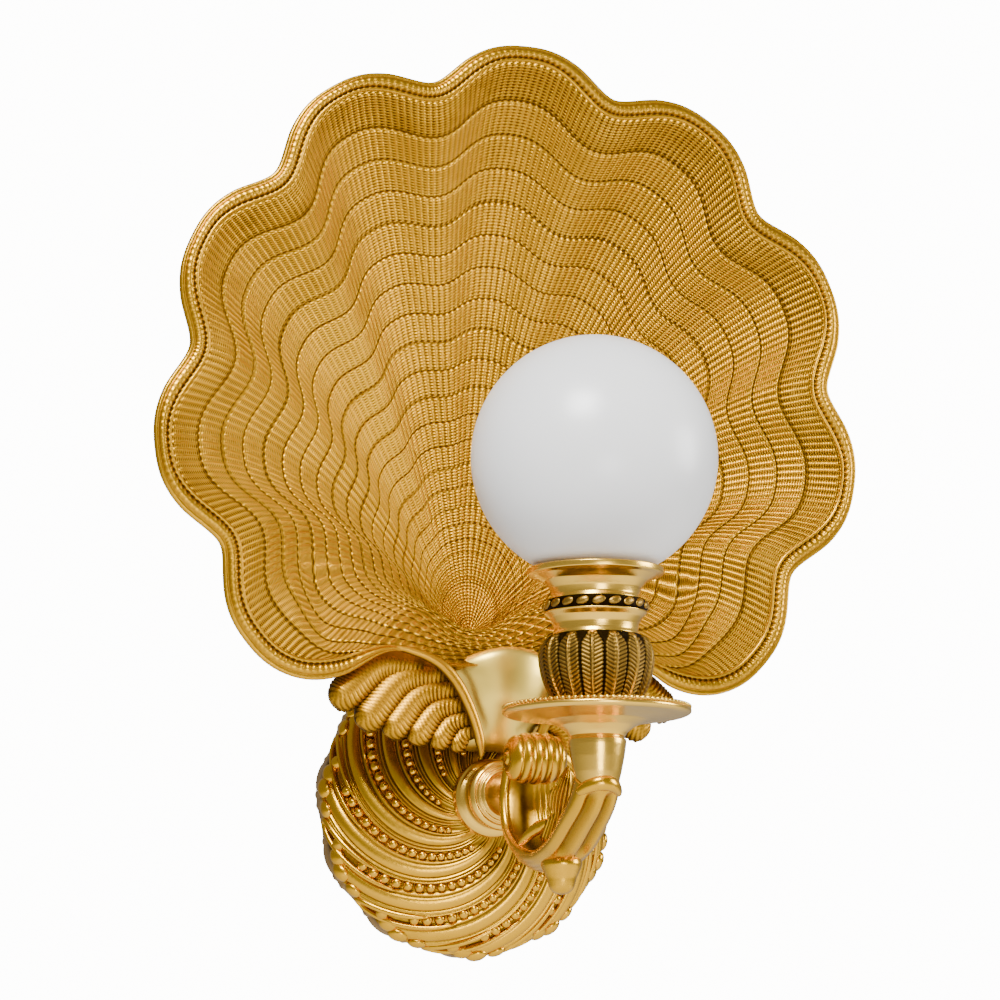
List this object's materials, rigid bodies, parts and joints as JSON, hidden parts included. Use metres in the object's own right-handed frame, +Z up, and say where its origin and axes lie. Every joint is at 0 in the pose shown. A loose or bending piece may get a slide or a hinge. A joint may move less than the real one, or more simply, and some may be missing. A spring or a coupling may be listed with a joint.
{
  "type": "wall sconce",
  "caption": "Gilt brass wall sconce with a scallop-shell reflector, cast scroll arm and candle cup holding one opal globe lamp.",
  "frame": {"origin": "on the wall plane, behind the centre of the round backplate", "axes": "+Z up, +Y into the wall, X to the right seen from the room"},
  "size_m": [0.2616, 0.1783, 0.3163],
  "materials": {
    "satin_brass": "satin, turned and polished",
    "cast_brass": "satin cast brass with dark recesses",
    "shell_brass": "gilt brass, dark in the grooves",
    "shell_brass_thin": "thin pressed brass",
    "antique_bronze": "antique bronze, dark satin",
    "plated_steel": "zinc plated",
    "black_insulator": "matt moulded insulator",
    "opal_glass": "opal white, gloss",
    "nickel": "bright thin metal"
  },
  "bodies": {
    "sconce": {"wall_crossbar": "plated_steel", "fixing_nipple": "plated_steel", "fixing_washer": "plated_steel", "fixing_locknut": "plated_steel", "backplate": "cast_brass", "shell_screws": "plated_steel", "shell": "shell_brass", "hinge_knob": "satin_brass", "ear_left": "cast_brass", "ear_right": "cast_brass", "wall_collar": "satin_brass", "arm": "cast_brass", "drop_finial": "satin_brass", "stem": "satin_brass", "bobeche": "satin_brass", "vase": "antique_bronze", "stem_nipple": "plated_steel", "stem_washer": "plated_steel", "stem_locknut": "plated_steel", "lower_cup": "satin_brass", "bead_ring": "antique_bronze", "upper_cup": "satin_brass", "lampholder_body": "black_insulator", "lampholder_shell": "shell_brass_thin", "lampholder_contact": "shell_brass_thin"},
    "lamp": {"lamp_globe": "opal_glass", "lamp_cap": "nickel", "lamp_insulator": "black_insulator", "lamp_contact": "nickel"}
  },
  "joints": [
    {"name": "lamp_removal", "type": "slide", "parent": "sconce", "child": "lamp", "axis": [0, 0, 1], "range_m": [0, 0.06]}
  ]
}
